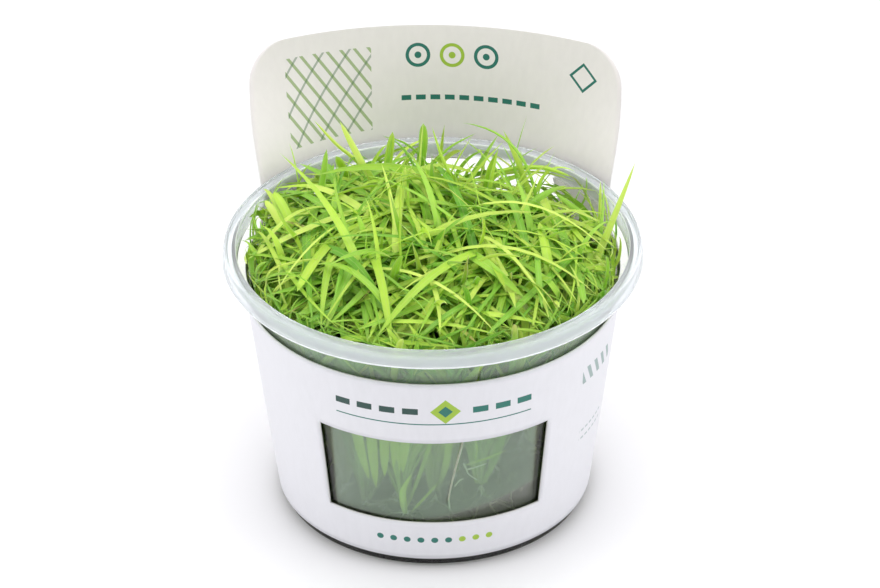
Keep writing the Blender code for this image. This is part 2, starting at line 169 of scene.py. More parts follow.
# Leaves that stand out of the mat: crown, bend over and tip, each in millimetres.
STANDING_LEAVES = (
    ((-2, 14), (-3, 20, 66), (-2, 25, 81)),
    ((-10, 14), (-12, 20, 64), (-9, 25, 78)),
    ((-10, -27), (-10, -36, 86), (-35, 27, 72)),
    ((-7, -26), (-9, -34, 88), (-6, 28, 70)),
    ((4, -8), (3, -12, 86), (-6, 26, 73)),
    ((24, 8), (28, 14, 84), (7, 35, 75)),
    ((3, 25), (2, 26, 70), (12, 31, 70)),
    ((9, 12), (12, 14, 66), (15, 20, 77)),
    ((18, 16), (20, 20, 78), (33, 26, 67)),
    ((27, -15), (35, -14, 62), (46, 12, 78)),
    ((28, -8), (38, -6, 60), (39, 14, 72)),
    ((-24, 16), (-29, 26, 62), (-33, 33, 71)),
    ((-26, 4), (-34, 2, 78), (-39, 21, 66)),
    ((-29, -8), (-36, -10, 66), (-42, -6, 69)),
    ((-28, -2), (-37, -4, 64), (-41, 7, 68)),
    ((-18, -22), (-22, -32, 84), (-38, -15, 64)),
)

# How broad each standing leaf is, in millimetres.
STANDING_WIDTHS = (2.2, 1.8, 2.4, 2.8, 2.0, 0.9, 1.4, 1.4, 1.6, 2.2, 1.5, 1.6, 1.8, 2.0, 1.6, 1.4)

# The fine blades that each plantlet has besides its leading leaves.
LOOSE_EACH = 6
LYING_EACH = 19
WALL_EACH = 13
OUTER_CROWNS = 0.020
LYING_START = (-0.004, 0.014)
LYING_RUN = (0.016, 0.050)
LYING_DEPTH = (-0.0065, 0.0015)
LYING_TURN = 0.009
ALONG_Y_SHARE = 0.75
HEADING_SPREAD = 0.75
SWEEP = 0.07
ARCHED_SHARE = 0.25
LOW_ARCH = (0.0, 0.14)
HIGH_ARCH = (0.14, 0.42)
SUNK_ANGLE = radians(62)
SUNK_SPREAD = radians(42)
SUNK_REACH = 0.0145
SUNK_DEPTH = 0.008
MOST_SUNK = 0.5
LYING_MARGIN = 0.0020
LYING_SLOPE = 0.0015
LYING_TILT = 0.3
SHORTEST_RUN = 0.008
RISE_STEPS = 7
RUN_STEPS = 11
RISE_SHARE = 0.6
WALL_MARGIN = 0.0006
WALL_START = 0.048
WALL_START_INWARD = 0.002
WALL_TOP = (0.0585, 0.0655)
WALL_SPREAD = 0.3
WALL_DRIFT = 0.35
WALL_END = 1.6
WALL_END_LIFT = 0.003
WALL_END_INWARD = 0.012
LOOSE_FOOT = (0.2, 0.9)
FOLDED_SHARE = 0.3
FOLD_PLACE = (0.55, 0.85)
FOLD_ANGLE = (0.5, 1.7)
FOLD_SKEW = 0.3
FINE_SEED = 23
SHADES = ("bright", "mid", "deep")

# The form of a blade. Its width grows from the foot, and its sides stand up from the midrib.
BLADE_STEPS = 16
SMOOTHINGS = 3
LEADING_STEPS = 22
BLADE_THICKNESS = 0.00022
FOOT_WIDTH = 0.6
WIDENING = 2.2
TIP_POWER = 0.8
CHANNEL = 0.30
VEINS = 16.0
THINNING = 0.6
FLAT_TILT = 0.3
LEADING_WIDTH = (1.5, 2.4)
LEADING_ROLL = 0.8
LEADING_TONE = (0.4, 1.0)
FINE_WIDTH = (0.0011, 0.0021)
BROAD_SHARE = 0.15
BROADER_BY = 0.0006
NARROW_WIDTH = (0.0005, 0.0011)
WIDE_SHARE = 0.78
FINE_ROLL = 0.5
FINE_TONE = (0.05, 1.0)
BLUNTNESS = (3, 5, 12)
BLUNTING = 6
AGES = (-1.0, 0.0, 0.12, 0.3)
AGE_SHARES = (0.7, 0.18, 0.09, 0.03)

# Fine blades that rise above the mat, by shade: how broad each is, then its path, in millimetres.
RISING_LEAVES = {
    "bright": (
        (1.7, (-8, 18, 60), (-12, 19, 66), (-16, 20, 73), (-21, 24, 82)),
        (0.9, (-13, 28, 61), (-17, 28, 69), (-22, 27, 74), (-27, 28, 80)),
        (2.0, (1, 8, 60), (0, 12, 66), (-3, 16, 70), (-6, 21, 72)),
        (2.2, (-8, -34, 62), (-8, -20, 68), (-8, 0, 72), (-6, 19, 73)),
        (1.0, (-16, 19, 60), (-12, 18, 66), (-10, 17, 70), (-7, 19, 73)),
        (1.8, (-30, 0, 58), (-33, 4, 64), (-36, 8, 68), (-38, 11, 69)),
        (0.7, (-37, -16, 60), (-37, -15, 67), (-25, -15, 70), (-19, -15, 64)),
        (0.8, (-25, -4, 63), (-18, -5, 67), (-14, -2, 68), (-9, 3, 66)),
        (0.8, (37, 9, 60), (38, 10, 64), (38, 10, 69), (38, 10, 74)),
        (2.5, (22, -30, 62), (17, -26, 68), (13, -17, 71), (8, 10, 66)),
    ),
    "mid": (
        (2.2, (-19, 27, 58), (-19, 26, 63), (-20, 25, 68), (-22, 22, 74)),
        (2.0, (-12, 23, 58), (-11, 24, 65), (-10, 26, 71), (-9, 26, 78)),
        (2.1, (-27, 0, 59), (-31, 4, 65), (-34, 9, 69), (-36, 13, 70)),
        (1.1, (12, 25, 59), (14, 25, 68), (25, 22, 71), (32, 22, 68)),
        (1.2, (11, 22, 59), (12, 21, 66), (13, 21, 71), (15, 19, 77)),
        (0.8, (8, 15, 60), (6, 16, 68), (2, 20, 75), (0, 23, 81)),
        (2.2, (25, -21, 62), (26, -18, 67), (25, -11, 70), (24, -1, 70)),
    ),
    "deep": (
        (1.6, (-26, 18, 58), (-26, 16, 64), (-25, 18, 70), (-24, 20, 77)),
        (2.2, (-4, 30, 58), (-3, 29, 66), (-2, 28, 73), (-2, 28, 79)),
        (0.9, (-35, 0, 58), (-37, 0, 62), (-38, 2, 65), (-39, 4, 68)),
        (0.7, (-2, 27, 60), (0, 28, 68), (4, 26, 74), (10, 25, 78)),
        (1.3, (37, 11, 60), (35, 11, 64), (32, 12, 66), (28, 13, 69)),
    ),
}

# What lies by the wall behind the window: how far across and how high, in millimetres.
BENT_LEAF = ((-6.5, 14.5), (-7, 18.5), (-7, 21.5), (-5, 26.5))
SLANTING_LEAVES = (
    ((-5, 14.5), (-2, 19), (1, 23.5)),
    ((7, 28), (11.5, 29), (16, 30)),
    ((9, 36), (9.5, 32), (9, 29)),
)
WINDOW_STEMS = (
    ((-14.5, 20), (-16.5, 29), (-18.5, 46)),
    ((-13, 18), (-13.5, 27), (-14.5, 46)),
    ((-11, 22), (-11, 30), (-10.5, 46)),
    ((-8, 21), (-8.5, 29), (-9, 46)),
    ((-7, 24), (-6.5, 32), (-5, 46)),
)
LONG_ROOT = ((8, 44), (6.5, 36), (4.5, 27.5), (3.5, 22), (3, 19), (3.5, 15.5))
SHORT_ROOTS = (
    ((6.5, 29), (7, 27.5), (7.5, 25.5), (9.5, 23.5)),
    ((7, 27), (9.5, 27.5), (11.5, 28)),
    ((4.5, 22.5), (5.5, 24), (6.5, 24.5)),
)

# How far each of them lies from the wall, in millimetres, and its width or radius, in metres.
BENT_LEAF_INWARD = 0.6
BENT_LEAF_WIDTH = 0.0016
SLANTING_INWARD = 1.5
SLANTING_WIDTH = 0.0006
STEM_INWARD = 3.7
STEM_WIDTH = 0.0024
LONG_ROOT_INWARD = 0.55
LONG_ROOT_RADIUS = 0.00034
SHORT_ROOT_INWARD = 0.95
SHORT_ROOT_RADIUS = 0.0002

# The roots in the jelly.
ROOTS_EACH = 4
ROOT_STEPS = 14
ROOT_SIDES = 5
ROOT_SIDEWAYS = (0.3, 0.5, 0.8)
ROOT_TAPER = 0.5
ROOT_OUT = 0.6
ROOT_START = 0.4
ROOT_WANDER = 0.28
ROOT_LENGTH = (0.006, 0.016)
ROOT_RADIUS = (0.00012, 0.00028)
ROOT_LIFT = 0.0006
ROOT_MARGIN = 0.0016

# The studio: an even sky, and soft lamps as name, place, diameter and power.
SKY_STRENGTH = 0.72
FLOOR_REACH = 6.0
FLOOR_DROP = 0.0002
LAMP_AIM = 0.04
LAMPS = (
    ("overhead", (0.0, 0.15, 1.2), 0.9, 6.0),
    ("left", (-1.0, -0.25, 0.6), 0.9, 4.0),
    ("right", (1.0, -0.25, 0.6), 0.9, 4.0),
)

# The photograph's camera.
TARGET = Vector((0.0015675, 0.0, 0.050445))
DISTANCE = 0.9531
ELEVATION = 0.566
ROLL = -0.007
LENS = 171.8
SENSOR_WIDTH = 36.0


def wall_radius(height):
    return FOOT_RADIUS + height * WALL_TAPER


def inner_radius(height):
    foot = wall_radius(FLOOR_THICKNESS) - WALL_THICKNESS - FLOOR_ROUND
    top = wall_radius(STEP_HEIGHT) - WALL_THICKNESS
    return foot + (top - foot) * (height - FLOOR_THICKNESS) / (STEP_HEIGHT - FLOOR_THICKNESS)


def smooth_step(low, high, value):
    share = min(1.0, max(0.0, (value - low) / (high - low)))
    return share * share * (3 - 2 * share)


def rgba(colour):
    return colour if isinstance(colour, Term) else (*colour, 1.0)


def shader_node(tree, kind, inputs, output=0, **settings):
    """One output of a new node, whose inputs are values or come from other nodes."""
    node = tree.nodes.new("ShaderNode" + kind)
    for name, value in settings.items():
        setattr(node, name, value)
    for place, value in inputs.items():
        if isinstance(value, Term):
            tree.links.new(value.socket, node.inputs[place])
        else:
            node.inputs[place].default_value = value
    return Term(tree, node.outputs[output])


def math_node(operation):
    """A method that puts a number through a Math node of one kind."""

    def method(self, *others):
        inputs = dict(enumerate((self, *others)))
        return shader_node(self.tree, "Math", inputs, operation=operation)

    return method


class Term:
    """A number or colour inside a shader. Arithmetic on it adds Math nodes."""

    def __init__(self, tree, socket):
        self.tree = tree
        self.socket = socket

    __add__ = math_node("ADD")
    __sub__ = math_node("SUBTRACT")
    __mul__ = math_node("MULTIPLY")
    below = math_node("LESS_THAN")
    above = math_node("GREATER_THAN")
    larger = math_node("MAXIMUM")
    size = math_node("ABSOLUTE")
    root = math_node("SQRT")
    wave = math_node("SINE")
    fold = math_node("PINGPONG")

    def repeat(self, pitch):
        """The distance from the nearest multiple of pitch."""
        return self.fold(pitch / 2)

    def within(self, low, high):
        return self.above(low) * self.below(high)

    def flipped(self):
        """1 where the number is 0, and 0 where it is 1."""
        return self * -1.0 + 1.0


class Look:
    """A material with a Principled shader, and short ways to add the nodes that feed it."""

    def __init__(self, name, colour, roughness, **values):
        self.material = bpy.data.materials.new(name)
        self.material.use_nodes = True
        self.tree = self.material.node_tree
        self.shader = self.tree.nodes["Principled BSDF"]
        values = {"Base_Color": rgba(colour), "Roughness": roughness, **values}
        for socket, value in values.items():
            self.shader.inputs[socket.replace("_", " ")].default_value = value

    def feed(self, socket, source):
        self.tree.links.new(source.socket, self.shader.inputs[socket])

    def attribute(self, name):
        return shader_node(self.tree, "Attribute", {}, "Fac", attribute_name=name)

    def place(self, kind="Object"):
        """The three coordinates of a surface point."""
        point = shader_node(self.tree, "TexCoord", {}, kind)
        first = shader_node(self.tree, "SeparateXYZ", {0: point})
        return [Term(self.tree, out) for out in first.socket.node.outputs]

    def noise(self, scale, detail, stretch=(1, 1, 1)):
        point = shader_node(self.tree, "TexCoord", {}, "Object")
        point = shader_node(self.tree, "Mapping", {0: point, "Scale": stretch})
        inputs = {"Vector": point, "Scale": scale, "Detail": detail}
        return shader_node(self.tree, "TexNoise", inputs, "Fac")

    def ramp(self, term, *stops):
        """Colours set along a number from 0 to 1."""
        colour = shader_node(self.tree, "ValToRGB", {0: term})
        elements = colour.socket.node.color_ramp.elements
        while len(elements) < len(stops):
            elements.new(0.5)
        for element, (position, paint) in zip(elements, stops):
            element.position = position
            element.color = rgba(paint)
        return colour

    def range(self, *values):
        """A number stretched from two limits to two others, or to 0 and 1."""
        return shader_node(self.tree, "MapRange", dict(enumerate(values)))

    def vary(self, noise, low, high):
        """A number that goes with a noise."""
        return self.range(noise, NOISE_LOW, NOISE_HIGH, low, high)

    def shades(self, noise, first, last):
        """A colour that goes with a noise."""
        return self.ramp(noise, (NOISE_LOW, first), (NOISE_HIGH, last))

    def mix(self, factor, first, second, blend="MIX"):
        inputs = {0: factor, 6: rgba(first), 7: rgba(second)}
        return shader_node(self.tree, "Mix", inputs, 2, data_type="RGBA", blend_type=blend)

    def bump(self, height, strength, depth):
        inputs = {"Height": height, "Strength": strength, "Distance": depth}
        self.feed("Normal", shader_node(self.tree, "Bump", inputs))


def placed(name, data):
    obj = bpy.data.objects.new(name, data)
    bpy.context.scene.collection.objects.link(obj)
    return obj


def mesh_object(name, points, faces, *looks):
    mesh = bpy.data.meshes.new(name)
    mesh.from_pydata([tuple(p) for p in points], [], faces)
    mesh.update()
    for look in looks:
        mesh.materials.append(look.material)
    return placed(name, mesh)


def round_object(name, points, faces, *looks, crease):
    """A mesh whose faces look outward, shaded smooth except at edges sharper than crease."""
    obj = mesh_object(name, points, faces, *looks)
    work = bmesh.new()
    work.from_mesh(obj.data)
    bmesh.ops.recalc_face_normals(work, faces=work.faces)
    work.to_mesh(obj.data)
    work.free()
    obj.data.shade_smooth()
    obj.data.set_sharp_from_angle(angle=radians(crease))
    return obj


# The materials.


def clear_plastic():
    """The clear wall, misted inside, with painted shade beside the window: darker and free of mist
    where the card shades it.
    """
    look = Look("clear_plastic", (0.84, 0.94, 0.82), 0.05, Transmission_Weight=0.9, IOR=1.4)
    x, y, z = look.place()
    gel_low, gel_high = (GEL_HEIGHT + edge for edge in MIST_OVER_GEL)
    sill_low, sill_high = (WINDOW_BOTTOM + edge for edge in MIST_OVER_SILL)
    above = look.range(z - x * GEL_SLOPE, gel_low, gel_high, 0.1, 1.0)
    # Painted shade: the card's shadow on the wall beside the window, reaching a little into the
    # window's sides.
    painted_shade = look.range(x.size() - z * PAINTED_SHADE_SLANT, *PAINTED_SHADE_EDGE)
    painted_shade = painted_shade * z.below(SLEEVE_TOP - CARD_GAP)
    beside = painted_shade.flipped()
    wet = look.range((x - z * STREAK_SLANT + STREAK_SHIFT).size(), *STREAK_EDGE)
    wet = wet.larger(z.below(STREAK_FOOT))
    under = look.range(z, sill_low, sill_high)
    thin = look.range(z, SLEEVE_TOP - MIST_THINNING, SLEEVE_TOP, 1.0, 0.85)
    front = look.range(y, *MIST_FRONT, 1.0, 0.0)
    cloud = look.vary(look.noise(55, detail=4), 0.75, 1.0)
    mist = above * beside * under * thin * front * wet * cloud
    look.feed("Transmission Weight", look.range(mist, 0.0, 1.0, 0.99, 0.84))
    look.feed("Roughness", look.range(mist, 0.0, 1.0, 0.03, 0.12))
    clear = look.ramp(mist, (0.3, (0.985, 0.995, 0.96)), (0.8, (0.74, 0.91, 0.74)))
    # Where the painted shade lies, the wall is painted a darker olive green.
    look.feed("Base Color", look.mix(painted_shade, clear, (0.45, 0.52, 0.30)))
    look.bump(look.noise(160, detail=2), strength=0.05, depth=0.0002)
    return look


def frosted_plastic():
    """The thicker rim, slightly milky, with fine turned rings."""
    look = Look("frosted_rim", (0.94, 0.97, 1.0), 0.22, Transmission_Weight=0.72, IOR=1.15)
    x, y, _ = look.place()
    rings = ((x * x + y * y).root() * TURNED_RINGS).wave()
    look.bump(rings, strength=0.012, depth=0.00004)
    look.feed("Roughness", look.vary(look.noise(30, detail=2), 0.17, 0.24))
    return look


def rim_edge_highlight():
    """The rim's narrow edges, whiter and less clear than the rest of the rim: a painted highlight
    where they gather light.
    """
    # Painted highlight: less transmission and a whiter colour than the rim make these edges bright.
    look = Look("rim_edge_highlight", (0.97, 0.99, 1.0), 0.12, Transmission_Weight=0.35, IOR=1.4)
    look.feed("Roughness", look.vary(look.noise(90, detail=2), 0.1, 0.2))
    return look


def jelly():
    look = Look("clear_gel", (0.70, 0.82, 0.64), 0.12, Transmission_Weight=0.88, IOR=1.34)
    haze = look.noise(70, detail=4)
    look.feed("Base Color", look.shades(haze, (0.38, 0.55, 0.22), (0.52, 0.68, 0.36)))
    look.feed("Roughness", look.vary(haze, 0.06, 0.3))
    look.bump(look.noise(240, detail=3), strength=0.15, depth=0.0003)
    return look


def root_skin():
    depths = {"Subsurface_Radius": (0.0006, 0.0005, 0.0003), "Subsurface_Scale": 1.0}
    look = Look("root_skin", (0.80, 0.78, 0.62), 0.45, Subsurface_Weight=0.2, **depths)
    skin = look.noise(400, detail=3)
    look.feed("Base Color", look.shades(skin, (0.86, 0.85, 0.70), (0.97, 0.96, 0.90)))
    look.bump(look.noise(1500, detail=2), strength=0.3, depth=0.0001)
    return look


def leaf_skin(name, dark, bright):
    """Lengthwise veins, a paler foot, a tone for each leaf and tips that have begun to yellow."""
    depths = {"Subsurface_Radius": (0.0006, 0.0012, 0.0003), "Subsurface_Scale": 1.0}
    look = Look(name, bright, 0.42, Subsurface_Weight=0.3, Specular_IOR_Level=0.35, **depths)
    tone, along, across = [look.attribute(mark) for mark in ("tone", "along", "across")]
    mottle = look.noise(260, detail=4)
    level = tone * 0.75 + mottle * 0.35
    middle = tuple((a + b) / 2 for a, b in zip(dark, bright))
    green = look.ramp(level, (0.15, dark), (0.55, middle), (0.9, bright))
    foot = look.range(along, 0.0, 0.35, 0.85, 0.0)
    green = look.mix(foot, green, (0.42, 0.52, 0.22))
    rib = look.range(across.size(), 0.0, 0.22, 0.28, 0.0)
    green = look.mix(rib, green, (0.52, 0.66, 0.20))
    tip = look.range(along + look.attribute("aged"), 1.0, 1.35)
    dry = look.ramp(mottle, (0.35, (0.24, 0.13, 0.035)), (0.6, (0.50, 0.44, 0.12)))
    look.feed("Base Color", look.mix(tip, green, dry))
    veins = (across * VEINS).wave()
    look.bump(veins * 0.5 + mottle, strength=0.25, depth=0.00008)
    look.feed("Roughness", look.vary(mottle, 0.34, 0.52))
    return look


class Card(Look):
    """Card stock, printed in flat colours, each over what is there."""

    def __init__(self, name, colour):
        super().__init__(name, colour, 0.5)
        fibre = self.noise(700, detail=4, stretch=(1, 1, 0.35))
        shade = self.vary(self.noise(28, detail=2), CARD_SHADE, 1.0)
        paper = self.shades(fibre, tuple(c * CARD_SHADE for c in colour), colour)
        cloud = self.ramp(shade, (0.0, (0.9, 0.9, 0.9)), (1.0, (1, 1, 1)))
        self.colour = self.mix(1.0, paper, cloud, "MULTIPLY")
        self.feed("Base Color", self.colour)
        self.feed("Roughness", self.vary(fibre, 0.42, 0.58))
        self.bump(fibre, strength=0.12, depth=0.00006)

    def sheet(self):
        """Millimetres along the card from the middle of the panel, and up from the foot."""
        return self.place("UV")[:2]

    def paint(self, mask, ink):
        self.colour = self.mix(mask, self.colour, ink)
        self.feed("Base Color", self.colour)


def disc(u, v, centre_u, centre_v, radius):
    du = u - centre_u
    dv = v - centre_v
    return (du * du + dv * dv).below(radius * radius)


def diamond(u, v, centre_u, centre_v, radius):
    return ((u - centre_u).size() + (v - centre_v).size()).below(radius)


def outline(shape, u, v, centre_u, centre_v, outer, inner):
    return shape(u, v, centre_u, centre_v, outer) * shape(u, v, centre_u, centre_v, inner).flipped()


def outside_card():
    """The card's outside: rows of dashes and dots above and below the window."""
    card = Card("card_outside", (0.735, 0.735, 0.775))
    u, v = card.sheet()
    row = 46.2
    dashes = u.repeat(5.2).below(1.75) * (v - row).size().below(0.85)
    card.paint(dashes * u.within(-23.4, -2.6), DARK_INK)
    card.paint(dashes * u.within(7.8, 23.4), TEAL_INK)
    card.paint(diamond(u, v, 2.6, row, 3.4), LIME_INK)
    card.paint(diamond(u, v, 2.6, row, 1.6), TEAL_INK)
    hairline = (v - 42.6).size().below(0.16)
    card.paint(hairline * u.within(-22.5, 22.5), TEAL_INK)
    bars = (u * 0.9 + v * 0.36).repeat(2.8).below(0.6) * v.within(41.5, 46.0)
    card.paint(bars * u.within(38.5, 52.0) * 0.6, TEAL_INK)
    ticks = u.repeat(1.9).below(0.6) * (v - 27.0).repeat(2.4).below(0.3) * v.within(23.4, 28.2)
    card.paint(ticks * u.within(38.5, 50.0) * 0.45, TEAL_INK)
    dots = (u.repeat(3.1) * u.repeat(3.1) + (v - 8.3) * (v - 8.3)).below(0.62)
    card.paint(dots * u.within(-13.95, 4.65), TEAL_INK)
    card.paint(dots * u.within(4.65, 13.95), LIME_INK)
    return card


def inside_card():
    """The card's inside, whose header faces the front: a hatched patch, rings and a dashed line."""
    card = Card("card_inside", (0.845, 0.80, 0.80))
    u, v = card.sheet()
    patch = u.within(-36.0, -15.0) * v.within(66.5, 86.0)
    stripes = (u * 0.8 + v * 0.6).repeat(2.6).below(0.34)
    card.paint(patch * stripes * 0.75, (0.22, 0.36, 0.08))
    cross = (u * 0.8 - v * 0.6).repeat(5.2).below(0.26)
    card.paint(patch * cross * 0.6, (0.10, 0.20, 0.10))
    row = 83.6
    for centre, paint in ((-4.0, TEAL_INK), (4.0, LIME_INK), (12.0, TEAL_INK)):
        card.paint(outline(disc, u, v, centre, row, 2.9, 2.1), paint)
        card.paint(disc(u, v, centre, row, 0.8), paint)
    dashes = u.repeat(3.4).below(1.15) * (v - 73.4).size().below(0.6)
    card.paint(dashes * u.within(-8.5, 25.0), TEAL_INK)
    card.paint(outline(diamond, u, v, 35.5, 82.3, 3.5, 2.7), TEAL_INK)
    return card


# The cup.


def rounded(profile):
    """The profile with its corners rounded where there is room."""
    points = [profile[0]]
    for before, corner, after in zip(profile, profile[1:], profile[2:]):
        corner = Vector(corner)
        back = Vector(before) - corner
        ahead = Vector(after) - corner
        cut = min(ROUNDING, back.length * MOST_ROUNDED, ahead.length * MOST_ROUNDED)
        start = corner + back.normalized() * cut
        end = corner + ahead.normalized() * cut
        for step in range(ROUNDING_STEPS + 1):
            t = step / ROUNDING_STEPS
            points.append(tuple(start * (1 - t) ** 2 + corner * 2 * t * (1 - t) + end * t * t))
    points.append(profile[-1])
    return points


def turned(name, profile, *looks):
    """The profile, as radius and height, turned round the axis."""
    points = []
    rings = []
    for radius, height in profile:
        if radius == 0:
            rings.append([len(points)] * SEGMENTS)
            points.append((0.0, 0.0, height))
            continue
        rings.append(list(range(len(points), len(points) + SEGMENTS)))
        points += [(radius * cos(a), radius * sin(a), height) for a in ANGLES]
    faces = []
    for low, high in zip(rings, rings[1:]):
        for i in range(SEGMENTS):
            j = (i + 1) % SEGMENTS
            faces.append(tuple(dict.fromkeys((low[i], low[j], high[j], high[i]))))
    return round_object(name, points, faces, *looks, crease=50)


def rim_material(centre):
    """A face's material: 0 for the wall, 1 for the rim, 2 for the rim's narrow edges, which carry a
    painted highlight.
    """
    radius = hypot(centre.x, centre.y)
    skirt = centre.z < SKIRT_BOTTOM + SKIRT_BAND and radius > RIM_RADIUS - SKIRT_THICKNESS
    lip = centre.z > CUP_HEIGHT - LIP_BAND and radius < RIM_INNER_RADIUS + LIP_BAND
    if skirt or lip:
        return 2
    return int(centre.z > RIM_LEDGE)


def make_cup():
    """The cup with a bead round its mouth, a shallow channel in its flange, and a skirt."""
    throat = RIM_INNER_RADIUS + WALL_THICKNESS
    underside = CUP_HEIGHT - RIM_THICKNESS
    outside = [
        (0, 0),
        (FOOT_RADIUS - FOOT_CHAMFER, 0),
        (wall_radius(FOOT_CHAMFER), FOOT_CHAMFER),
        (wall_radius(STEP_HEIGHT), STEP_HEIGHT),
        (throat, RIM_LEDGE),
        (throat, underside),
        (RIM_RADIUS - SKIRT_THICKNESS, underside),
        *[(RIM_RADIUS - inward, SKIRT_BOTTOM + up) for inward, up in SKIRT_EDGE],
        *[(RIM_RADIUS - inward, CUP_HEIGHT - down) for inward, down in OUTER_BEAD],
        *[(RIM_INNER_RADIUS + outward, CUP_HEIGHT - down) for outward, down in INNER_BEAD],
        (RIM_INNER_RADIUS, RIM_LEDGE + WALL_THICKNESS / 2),
        (inner_radius(STEP_HEIGHT), STEP_HEIGHT),
        (inner_radius(FLOOR_THICKNESS), FLOOR_THICKNESS),
        (0, FLOOR_THICKNESS),
    ]
    cup = turned("clear_cup", rounded(outside), clear_plastic(), frosted_plastic(), rim_edge_highlight())
    for face in cup.data.polygons:
        face.material_index = rim_material(face.center)
    return cup


# The card sleeve.


def steps_between(marks, longest):
    values = [marks[0]]
    for start, end in zip(marks, marks[1:]):
        count = max(1, ceil((end - start) / longest - ROUNDING_ERROR))
        values.extend(start + (end - start) * k / count for k in range(1, count + 1))
    return values


def card_columns():
    """Angles round the card from its middle at the back, closed at the front."""
    window_edge = pi - WINDOW_HALF_ANGLE
    marks = [-pi, -window_edge, -HEADER_HALF_ANGLE, -SLOT_HALF_ANGLE, -TAB_HALF_ANGLE]
    marks += [0.0] + [-mark for mark in reversed(marks)]
    return steps_between(marks, COLUMN_STEP)


def ring_radius(height):
    return wall_radius(height) + CARD_GAP + CARD_THICKNESS / 2


def flare(height):
    """How far the header's foot stands out from the line of the wall, to clear the rim."""
    outside_rim = RIM_RADIUS + HEADER_CLEARANCE + CARD_THICKNESS / 2
    full = outside_rim - ring_radius(SLOT_TOP)
    return full * smooth_step(FLARE_START, SLOT_TOP, height)


def neck_share(angle):
    inner = smooth_step(SLOT_HALF_ANGLE / 2, SLOT_HALF_ANGLE, abs(angle))
    outer = 1 - smooth_step(HEADER_HALF_ANGLE, NECK_END_ANGLE, abs(angle))
    return inner * outer


def ring_point(angle, height):
    share = neck_share(angle)
    radius = ring_radius(height) + flare(height) * share
    shift = HEADER_SHIFT * share * smooth_step(FLARE_START, SLEEVE_TOP, height)
    return (radius * sin(angle) + shift, radius * cos(angle), height)


def header_width(height):
    share = max(0.0, (height - SLOT_TOP) / (HEADER_TOP - SLOT_TOP))
    width = HEADER_FOOT_ARC + (HEADER_TOP_ARC - HEADER_FOOT_ARC) * share
    over = max(0.0, height - (HEADER_TOP - HEADER_CORNER))
    inset = HEADER_CORNER - sqrt(max(0.0, HEADER_CORNER**2 - over**2))
    return width - inset


def header_point(angle, height):
    """The header bends round the cup at its foot. It flattens, leans and twists as it rises."""
    share = smooth_step(SLOT_TOP, HEADER_TOP, height)
    foot = min(height, SLOT_TOP)
    foot_radius = ring_radius(foot) + flare(foot)
    bend = foot_radius + (HEADER_TOP_BEND - foot_radius) * share
    widening = smooth_step(SLEEVE_TOP, SLOT_TOP, height)
    along = foot_radius + (header_width(height) / HEADER_HALF_ANGLE - foot_radius) * widening
    turn = angle * along / bend
    across = bend * sin(turn)
    behind = foot_radius + max(0.0, height - CUP_HEIGHT) * HEADER_LEAN - bend * (1 - cos(turn))
    droop = HEADER_ARCH * (angle / HEADER_HALF_ANGLE) ** 2 * share
    return (across + HEADER_SHIFT, behind - across * sin(HEADER_TWIST) * share, height - droop)


def cut_away(angle, height):
    """True in the window, in the slots beside the tab, and beside the header."""
    across = abs(angle)
    slot_top = TAB_BOTTOM if across < TAB_HALF_ANGLE else SLOT_TOP
    window = across > pi - WINDOW_HALF_ANGLE and WINDOW_BOTTOM < height < WINDOW_TOP
    slot = across < SLOT_HALF_ANGLE and SLEEVE_TOP < height < slot_top
    return window or slot or (across > HEADER_HALF_ANGLE and height > SLEEVE_TOP)


def card_place(angle, height):
    """Where a point of the card lies on its print, in millimetres."""
    if height <= SLEEVE_TOP:
        from_front = copysign(pi - abs(angle), angle)
        return from_front * ring_radius(height) * 1000, height * 1000
    return angle / HEADER_HALF_ANGLE * header_width(height) * 1000, height * 1000


def make_sleeve():
    columns = card_columns()
    low_rows = [SLEEVE_BOTTOM, WINDOW_BOTTOM, WINDOW_TOP, FLARE_START, SLEEVE_TOP]
    rows = steps_between(low_rows, ROW_STEP)
    corner_start = HEADER_TOP - HEADER_CORNER
    rows += steps_between((TAB_BOTTOM, SLOT_TOP, corner_start), ROW_STEP)
    rows += [corner_start + HEADER_CORNER * sin(radians(a)) for a in CORNER_ANGLES]
    work = bmesh.new()
    layer = work.loops.layers.uv.new("UVMap")
    grid = []
    for height in rows:
        place = ring_point if height <= SLEEVE_TOP else header_point
        row = [work.verts.new(place(angle, height)) for angle in columns[:-1]]
        grid.append(row + [row[0]])
    for row, (low, high) in enumerate(zip(rows, rows[1:])):
        for column, (left, right) in enumerate(zip(columns, columns[1:])):
            middle = (left + right) / 2
            height = (low + high) / 2
            if cut_away(middle, height):
                continue
            corners = ((row, column), (row + 1, column), (row + 1, column + 1), (row, column + 1))
            face = work.faces.new([grid[r][c] for r, c in corners])
            for loop, (r, c) in zip(face.loops, corners):
                angle = columns[c]
                if height < SLEEVE_TOP:
                    angle = copysign(abs(angle), middle)
                loop[layer].uv = card_place(angle, rows[r])
    loose = [v for v in work.verts if not v.link_faces]
    bmesh.ops.delete(work, geom=loose, context="VERTS")
    mesh = bpy.data.meshes.new("card_sleeve")
    work.to_mesh(mesh)
    work.free()
    sleeve = placed("card_sleeve", mesh)
    for look in (outside_card(), inside_card(), Card("card_edge", (0.86, 0.85, 0.85))):
        mesh.materials.append(look.material)
    mesh.shade_smooth()
    thick = sleeve.modifiers.new("card", "SOLIDIFY")
    thick.thickness = CARD_THICKNESS
    thick.offset = 0
    thick.use_even_offset = True
    thick.material_offset = 1
    thick.material_offset_rim = 2
    return sleeve


# The jelly.


def gel_top(x):
    return GEL_HEIGHT + GEL_SLOPE * x


